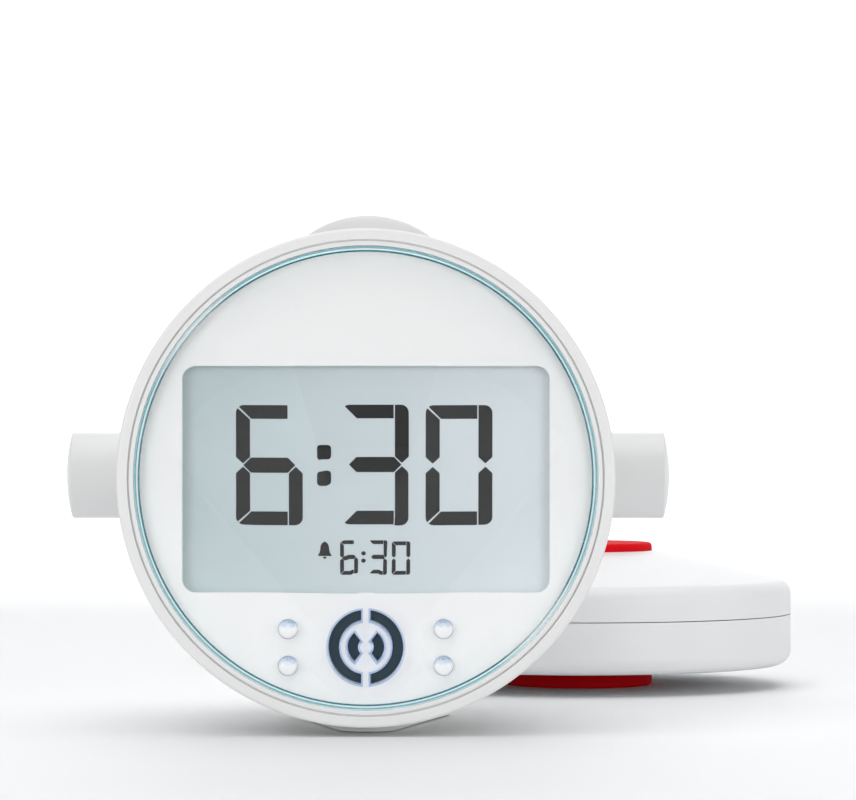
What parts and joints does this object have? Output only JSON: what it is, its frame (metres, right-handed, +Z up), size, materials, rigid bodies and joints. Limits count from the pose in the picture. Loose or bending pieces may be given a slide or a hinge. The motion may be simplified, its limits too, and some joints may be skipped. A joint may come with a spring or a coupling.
{
  "type": "bed shaker alarm clock",
  "caption": "Round digital bedside alarm clock on a moulded foot, with a domed snooze button, side knobs, flashing lamps, a sounder and a separate round vibrating bed shaker.",
  "frame": {"origin": "on the table under the middle of the clock's rubber sole", "axes": "+Z up, the dial faces -Y, +X to the right as the dial is read; the shaker lies behind the clock to its right"},
  "size_m": [0.158, 0.2114, 0.1037],
  "materials": {
    "bezel_white": "satin",
    "housing_white": "satin",
    "lens_clear": "polished",
    "fascia_white": "smooth",
    "chassis_white": "moulded",
    "display_glass": "smooth",
    "light_guide": "smooth",
    "contact_rubber": "matt",
    "board_green": "lacquered",
    "chip_black": "matt",
    "lamp_clear": "polished",
    "cloth_dark": "woven",
    "cone_paper": "matt",
    "steel": "zinc plated",
    "sole_rubber": "matt",
    "button_white": "satin",
    "knob_white": "satin",
    "switch_black": "satin",
    "shaft_aluminium": "turned",
    "cell_sleeve": "printed sleeve",
    "pin_brass": "turned",
    "shaker_white": "satin",
    "pad_red": "matt",
    "gland_grey": "matt"
  },
  "bodies": {
    "clock": {"front_bezel": "bezel_white", "front_lens": "lens_clear", "fascia": "fascia_white", "lcd_chassis": "chassis_white", "lcd_glass": "display_glass", "lcd_backlight": "light_guide", "lcd_connectors": "contact_rubber", "main_board": "board_green", "board_parts": "chip_black", "board_screws": "steel", "flash_leds": "lamp_clear", "sounder_mesh": "cloth_dark", "speaker_basket": "steel", "speaker_cone": "cone_paper", "speaker_magnet": "steel", "rear_housing": "housing_white", "foot_pad": "sole_rubber", "housing_screws": "steel", "snooze_switch": "switch_black", "snooze_board": "board_green", "snooze_board_screws": "steel", "alarm_encoder": "steel", "time_encoder": "steel", "encoder_nuts": "steel", "backup_cells": "cell_sleeve", "battery_contacts": "steel", "socket_panel": "housing_white", "connector_board": "board_green", "connector_screws": "steel", "power_jack": "chip_black", "power_jack_pin": "pin_brass", "shaker_jack": "chip_black"},
    "snooze": {"snooze_button": "button_white"},
    "plunger": {"snooze_plunger": "switch_black"},
    "alarm_control": {"alarm_knob": "knob_white", "alarm_shaft": "shaft_aluminium"},
    "time_control": {"time_knob": "knob_white", "time_shaft": "shaft_aluminium"},
    "door": {"battery_door": "housing_white"},
    "shaker": {"shaker_upper_shell": "shaker_white", "shaker_lower_shell": "shaker_white", "shaker_top_pad": "pad_red", "shaker_bottom_pad": "pad_red", "shaker_motor": "steel", "motor_clamp": "steel", "motor_clamp_screws": "steel", "cable_gland": "gland_grey", "shaker_screws": "steel"},
    "weight": {"motor_shaft": "steel", "eccentric_weight": "pin_brass"}
  },
  "joints": [
    {"name": "snooze_press", "type": "slide", "parent": "clock", "child": "snooze", "axis": [0, 0, -1], "range_m": [0, 0.0012], "stiffness_N_per_m": 1500, "springref_m": -0.0005},
    {"name": "plunger_press", "type": "slide", "parent": "clock", "child": "plunger", "axis": [0, 0, -1], "range_m": [0, 0.0012]},
    {"name": "alarm_knob_turn", "type": "hinge", "parent": "clock", "child": "alarm_control", "pos_m": [-0.05, -0.0075, 0.0508], "axis": [-1, 0, 0], "continuous": true},
    {"name": "time_knob_turn", "type": "hinge", "parent": "clock", "child": "time_control", "pos_m": [0.05, -0.0075, 0.0508], "axis": [1, 0, 0], "continuous": true},
    {"name": "battery_door_pull", "type": "slide", "parent": "clock", "child": "door", "axis": [0, 1, 0], "range_m": [0, 0.022]},
    {"name": "shaker_lift", "type": "slide", "parent": "clock", "child": "shaker", "axis": [0, 0, 1], "range_m": [0, 0.12]},
    {"name": "weight_spin", "type": "hinge", "parent": "shaker", "child": "weight", "pos_m": [0.0472, 0.1165, 0.0165], "axis": [1, 0, 0], "continuous": true}
  ],
  "couplings": [
    {"joint": "plunger_press", "follows": "snooze_press", "ratio": 1}
  ]
}
